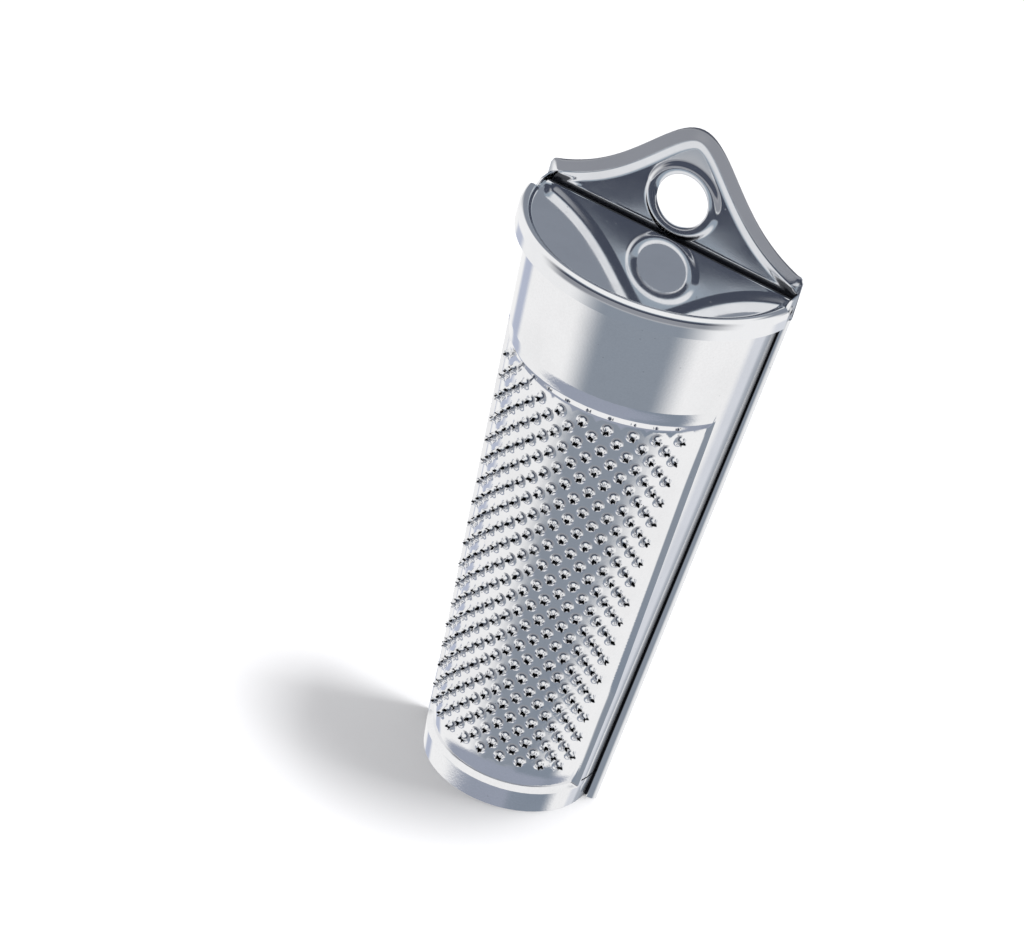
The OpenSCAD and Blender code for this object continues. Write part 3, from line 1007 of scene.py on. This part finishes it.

# %% [markdown]
# Along the back edge the dome dies away, a fine ridge is left, and the sheet is turned down round
# the hinge line, so that it clears the tab as the lid swings. The edge is extruded step by step.
# Each step of the table has four values: the distance back in millimetres, the share of the dome
# that is kept, the rise in millimetres, and how much painted shade the metal gets. Behind the ridge
# the painted shade darkens the hinge gap, which also keeps a bright line from being mirrored in the tab.

# %% Turn the lid's back edge down
lid_back_y = axis_y
on_edge = 0.001 * mm
back_lip = [(0.06, 1.0, 0.0, 0), (0.22, 1.0, 0.06, 0), (0.27, 0.97, 0.05, 0), (0.36, 0.9, 0.03, 0.92),
            (0.5, 0.72, 0.01, 0.92), (0.65, 0.4, 0.01, 0.92), (0.8, 0.0, 0.05, 0.92), (0.86, 0.0, 0.0, 1),
            (0.95, 0.0, -0.12, 1), (1.05, 0.0, -0.3, 1), (1.15, 0.0, -0.55, 1), (1.2, 0.0, -0.9, 1)]

# Painted shade for the dark hinge gap behind the ridge.
lid_shade = lid.verts.layers.float.new("painted_shade")
lip_edges = [e for e in lid.edges
             if e.is_boundary and all(abs(v.co.y - lid_back_y) < on_edge for v in e.verts)]
domed = {v: v.co.z - lid_z for e in lip_edges for v in e.verts}
for back, keep, rise, shade_amount in back_lip:
    out = bmesh.ops.extrude_edge_only(lid, edges=lip_edges)["geom"]
    lip_edges = edges_in(out)
    for v in verts_in(out):
        domed[v] = next(domed[e.other_vert(v)] for e in v.link_edges if e.other_vert(v) in domed)
        v.co = (v.co.x, lid_back_y + back * mm, lid_z + domed[v] * keep + rise * mm)
        v[lid_shade] = shade_amount
bmesh.ops.recalc_face_normals(lid, faces=lid.faces)
if max(lid.faces, key=lambda f: f.calc_area()).normal.z < 0:
    bmesh.ops.reverse_faces(lid, faces=lid.faces)
finish_piece("lid_sheet", lid, mirror_tin, "cover", nodes=("lid",), thickness=sheet_t)

# %% [markdown]
# The lid hangs from the rivets on two lugs, which are leaves like the ears but smaller. Each is cut
# off at the lid's flat top, and a shelf of sheet joins it to the panel, in the place where the
# trimmed rim would be. The lugs have no holes: the rivets' heads hide the place.

# %% Hang the lid's lugs
lug_r = 1.8 * mm
lug_reach = 1.9 * mm
lug_play = 0.05 * mm
shelf_lap = 1.0 * mm
lug_x = shoulder_w - 2 * sheet_t - lug_play
shelf_w = lug_x + sheet_t - lid_flat_r + shelf_lap
shelf_low_y = hinge_y - lug_reach

lugs = bmesh.new()
for side in (-1, 1):
    outline = [(y, min(z, lid_z)) for y, z in leaf_outline(lug_r, lid_back_y)]
    add_leaf(lugs, outline, lug_x, side)
    shelf = bmesh.ops.create_cube(lugs, size=1)["verts"]
    bmesh.ops.scale(lugs, vec=(shelf_w, lid_back_y - shelf_low_y, sheet_t), verts=shelf)
    shelf_place = (side * (lug_x + sheet_t - shelf_w / 2), (shelf_low_y + lid_back_y) / 2,
                   lid_z - sheet_t / 2)
    bmesh.ops.translate(lugs, vec=shelf_place, verts=shelf)
bmesh.ops.recalc_face_normals(lugs, faces=lugs.faces)
finish_piece("lid_lugs", lugs, mirror_tin, "cover")

# %% [markdown]
# ## The compartment floor
# The floor closes the box for whole nutmegs off from the open grating cavity. It is a shallow
# half-round dish pressed into the shell, with its rim turned up. Its D outline follows the shell's
# inner face at each height, so it is worked out by a function. The flat bottom is one face, and
# its edge is extruded upwards in short steps that round the corner.

# %% Press the compartment floor
floor_low, floor_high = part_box("compartment_floor")
floor_play = 0.04 * mm
floor_steps = 40
corner_section = [(0.9, 0.0), (0.45, 0.05), (0.15, 0.22), (0.0, 0.55), (0.0, 1.6), (0.0, 2.4), (0.0, 3.2)]


def floor_loop(inset, rise):
    """D-shaped loop of the floor, moved in from the shell's inner face."""
    z = floor_low.z + rise
    r = outer_r(z) - sheet_t - floor_play - inset
    back = plate_y - inset
    places = []
    for i in range(floor_steps + 1):
        a = math.radians(-90 + 180 * i / floor_steps)
        places.append(Vector((r * math.sin(a), axis_y - r * math.cos(a), z)))
    return places + [Vector((r, back, z)), Vector((0, back, z)), Vector((-r, back, z))]


floor_places = [floor_loop(inset * mm, rise * mm) for inset, rise in corner_section]
dish = bmesh.new()
verts, edges = chain(dish, floor_places[0])
edges.append(dish.edges.new((verts[-1], verts[0])))
dish.faces.new(verts)
for places in floor_places[1:]:
    verts, edges = extrude_chain(dish, verts, edges, places)
bmesh.ops.recalc_face_normals(dish, faces=dish.faces)
if max(dish.faces, key=lambda f: f.calc_area()).normal.z > 0:
    bmesh.ops.reverse_faces(dish, faces=dish.faces)
print("floor is between", round(floor_low.z / mm, 1), "and", round(floor_high.z / mm, 1), "mm up")
finish_piece("compartment_floor_dish", dish, inner_tin, "frame",
             nodes=("compartment_floor",), thickness=sheet_t)

# %% [markdown]
# ## The pivot rivets
# Each rivet has a low head inside, a shank through lug and ear, and a head outside that a punch
# closed, which leaves a dimple. All of it is round, so it is spun from half a section, once round
# the hinge line. The section gives the distance from the hinge line and the place along it, in
# millimetres, from the inner head outwards. The dimple gets painted shade, the dark of its
# hollow.

# %% Turn the rivets
rivet_section = [(0, -0.33), (0.55, -0.3), (0.95, -0.18), (1.12, 0.0), (0.6, 0.0), (0.6, 0.9), (1.12, 0.9),
                 (1.08, 1.04), (0.92, 1.16), (0.66, 1.23), (0.5, 1.21), (0.4, 1.1), (0.3, 0.92),
                 (0.15, 0.84), (0, 0.82)]
rivet_steps = 24
pole_gap = 0.002 * mm
dimple_r = 0.42 * mm
pin_start = pin_low.x + 0.35 * mm
dimple_from = pin_start + 0.8 * mm


def add_rivet(hand, side):
    """A pivot rivet on the right or the left, with its dimple outwards."""
    bm = bmesh.new()
    section = [(side * (pin_start + b * mm), hinge_y, hinge_z + a * mm) for a, b in rivet_section]
    verts, edges = chain(bm, section)
    bmesh.ops.spin(bm, geom=verts + edges, axis=(1, 0, 0), cent=(0, hinge_y, hinge_z),
                   angle=2 * math.pi, steps=rivet_steps, use_merge=True)
    bmesh.ops.remove_doubles(bm, verts=bm.verts, dist=pole_gap)
    bmesh.ops.recalc_face_normals(bm, faces=bm.faces)
    # Painted shade in the dimple's hollow.
    dimple = bm.verts.layers.float.new("painted_shade")
    for v in bm.verts:
        from_line = math.hypot(v.co.y - hinge_y, v.co.z - hinge_z)
        if abs(v.co.x) > dimple_from and from_line < dimple_r:
            v[dimple] = 1.0
    finish_piece("rivet_" + hand, bm, rivet_steel, "frame",
                 nodes=("hinge_pin_" + hand,))


add_rivet("right", 1)
add_rivet("left", -1)

# %% [markdown]
# ## Table, light and camera
# The grater stands on a plain white table, which goes over into a white background without an
# edge. The table is one large face with diffuse paint, so it shows a soft shadow. A little glow
# that only the camera sees lifts the lit paint to full white. The table is kept out of the mirror
# images, since the world shows the metal its surroundings below as well as above.

# %% Table
table_half_w = 4
table_paint = (0.6, 0.6, 0.61, 1)
table_glow = 0.15

grid = bmesh.new()
bmesh.ops.create_grid(grid, x_segments=1, y_segments=1, size=table_half_w)
table = object_from("table", grid)
white_paint, tree = new_material("table_white")
paint = node(tree, "ShaderNodeBsdfDiffuse", {"Color": table_paint})
seen = node(tree, "ShaderNodeLightPath").outputs["Is Camera Ray"]
glow = node(tree, "ShaderNodeEmission", {"Color": (1, 1, 1, 1),
                                         "Strength": calc(tree, "MULTIPLY", seen, table_glow)})
both = node(tree, "ShaderNodeAddShader", {0: paint.outputs[0], 1: glow.outputs[0]})
node(tree, "ShaderNodeOutputMaterial", {"Surface": both.outputs[0]})
table.data.materials.append(white_paint)
table.visible_glossy = False
print("table is", 2 * table_half_w, "m wide")

# %% [markdown]
# The grater is open at its foot, and a mirror ray could leave there, pass the hidden table and
# find the bright world under it. Then the burrs' holes would shine. A dark card just above the
# table, inside the foot, is painted shade: it stands for the shadow in the hollow and keeps it as
# dark as it is on the real grater.

# %% Dark card of painted shade in the foot
card_gap = 0.3 * mm
card_z = 0.1 * mm
card_points = 48
foot_shade_color = (0.02, 0.02, 0.02, 1)

disc = bmesh.new()
bmesh.ops.create_circle(disc, cap_ends=True, segments=card_points,
                        radius=shell_foot_r - sheet_t - card_gap,
                        matrix=Matrix.Translation((0, axis_y, card_z)))
bmesh.ops.bisect_plane(disc, geom=disc.verts[:] + disc.edges[:] + disc.faces[:],
                       plane_co=(0, plate_y, 0), plane_no=(0, 1, 0), clear_outer=True)
card = object_from("foot_shade_card", disc)
foot_shade_paint = bpy.data.materials.new("foot_shade_card")
foot_shade_paint.use_nodes = True
foot_shade_paint.node_tree.nodes["Principled BSDF"].inputs["Base Color"].default_value = foot_shade_color
card.data.materials.append(foot_shade_paint)
print("dark card is", round(card.dimensions.x / mm, 1), "mm wide")

# %% [markdown]
# Bright metal shows nothing but its surroundings, so most of the look is made here. The world is
# a light tent: white all round, with grey and dark cards hung in it that give the shell its bands
# and the lid and the tab their tones. Each card is a patch of directions with soft borders: where
# it begins and ends round the grater, in degrees from straight ahead and positive to the right,
# where it begins and ends in height, in degrees over the horizon, and its colour.

# %% Cards of the light tent
tent_cards = [
    ((-200, -190), (190, 200), (-62, -58), (-47, -44), (0.34, 0.37, 0.45)),
    ((-134, -124), (-114, -104), (-48, -45), (-30, -26), (0.5, 0.54, 0.66)),
    ((126, 136), (150, 165), (-48, -45), (-30, -26), (0.72, 0.74, 0.79)),
    ((146, 154), (190, 200), (-48, -45), (-20, -10), (0.42, 0.45, 0.5)),
    ((-44, -10), (46, 80), (-48, -45), (-28, -22), (0.275, 0.31, 0.36)),
    ((28, 42), (85, 110), (-50, -47), (-43, -41), (0.25, 0.29, 0.35)),
    ((-75, -45), (60, 95), (-28, -22), (-8, 2), (0.3, 0.31, 0.34)),
    ((-75, -45), (60, 95), (-8, 2), (29.5, 31.5), (0.07, 0.08, 0.11)),
    ((-75, -45), (60, 95), (29.5, 31.5), (37, 47), (0.38, 0.44, 0.5)),
    ((-200, -190), (-140, -120), (-5, 5), (42, 52), (0.25, 0.275, 0.32)),
    ((120, 140), (190, 200), (-5, 5), (42, 52), (0.25, 0.275, 0.32)),
]
tent_white = (0.97, 0.965, 0.96, 1)
print("light tent has", len(tent_cards), "cards")

# %% [markdown]
# The tent is seen by glossy rays only. The camera sees plain white behind the table, and the
# table is lit by an even, slightly grey white, so that the cards cast no tint on it. The direction
# of a ray gives its turn round the grater and its rise, and each card is mixed over the tent
# where both are within its borders.

# %% World
room_white = (0.74, 0.74, 0.75, 1)
camera_white = (1, 1, 1, 1)

world = bpy.data.worlds.new("light_tent")
world.use_nodes = True
sky = world.node_tree
sky.nodes.clear()
way = node(sky, "ShaderNodeTexCoord").outputs["Generated"]
axes = node(sky, "ShaderNodeSeparateXYZ", {"Vector": way}).outputs
turn = calc(sky, "ARCTAN2", axes["X"], calc(sky, "MULTIPLY", axes["Y"], -1.0))
turn = calc(sky, "DEGREES", turn)
rise = calc(sky, "DEGREES", calc(sky, "ARCSINE", axes["Z"]))
tent = tent_white
for turn_in, turn_out, rise_in, rise_out, color in tent_cards:
    across = calc(sky, "MULTIPLY", spread(sky, turn, *turn_in),
                  spread(sky, turn, *turn_out, 1.0, 0.0))
    up = calc(sky, "MULTIPLY", spread(sky, rise, *rise_in),
              spread(sky, rise, *rise_out, 1.0, 0.0))
    tent = mix_color(sky, calc(sky, "MULTIPLY", across, up), tent, (*color, 1))
ray = node(sky, "ShaderNodeLightPath").outputs
shown = mix_color(sky, ray["Is Glossy Ray"], room_white, tent)
shown = mix_color(sky, ray["Is Camera Ray"], shown, camera_white)
light = node(sky, "ShaderNodeBackground", {"Color": shown, "Strength": 1.0})
node(sky, "ShaderNodeOutputWorld", {"Surface": light.outputs[0]})
bpy.context.scene.world = world
print("world has", len(sky.nodes), "nodes")

# %% [markdown]
# One soft lamp hangs high over the right side and casts the grater's shadow on the table to the
# left. The tent alone would give no direction to the light. The lamp is hidden from the camera
# and from the mirror images, so on the metal only the tent is seen.

# %% Softbox
softbox_place = Vector((0.125, 0.045, 0.9))
# Its depth lies about along Y and its width about along X.
softbox_depth = 0.17
softbox_width = 0.15
softbox_watts = 8.4

softbox = bpy.data.lights.new("key_softbox", "AREA")
softbox.shape = "RECTANGLE"
softbox.size = softbox_depth
softbox.size_y = softbox_width
softbox.energy = softbox_watts
lamp = bpy.data.objects.new("key_softbox", softbox)
lamp.location = softbox_place
lamp.rotation_euler = (-softbox_place).to_track_quat("-Z", "Y").to_euler()
lamp.visible_glossy = False
lamp.visible_camera = False
bpy.context.scene.collection.objects.link(lamp)
print("softbox hangs", round(softbox_place.length, 2), "m from the grater's foot")

# %% [markdown]
# The camera has the place, the tilt and the lens that the photograph's outlines gave: the lid's
# rim, the foot, the tab and the seam were matched until all of them lay in their places. It looks
# down on the grater from the front right and is rolled, so the grater seems to lean. The Standard
# view keeps white paint white.

# %% Camera
camera_place = Vector((222.93, -654.49, 493.87)) * mm
camera_turns = (57.04, -14.03, 28.56)
lens_length = 172.27
sensor_width = 36
near_clip = 0.01

lens = bpy.data.cameras.new("photo_camera")
camera = bpy.data.objects.new("photo_camera", lens)
camera.location = camera_place
camera.rotation_euler = Euler([math.radians(a) for a in camera_turns], "XYZ")
lens.sensor_width = sensor_width
lens.lens = lens_length
lens.clip_start = near_clip
bpy.context.scene.collection.objects.link(camera)
bpy.context.scene.camera = camera
bpy.context.scene.view_settings.view_transform = "Standard"
print("camera is", round(camera_place.length, 3), "m from the grater's foot")

# %% [markdown]
# ## Finish
# The pieces and their triangles are counted at the end.

# %% Count the pieces and finish
print(len(triangles), "pieces,", sum(triangles.values()), "triangles")
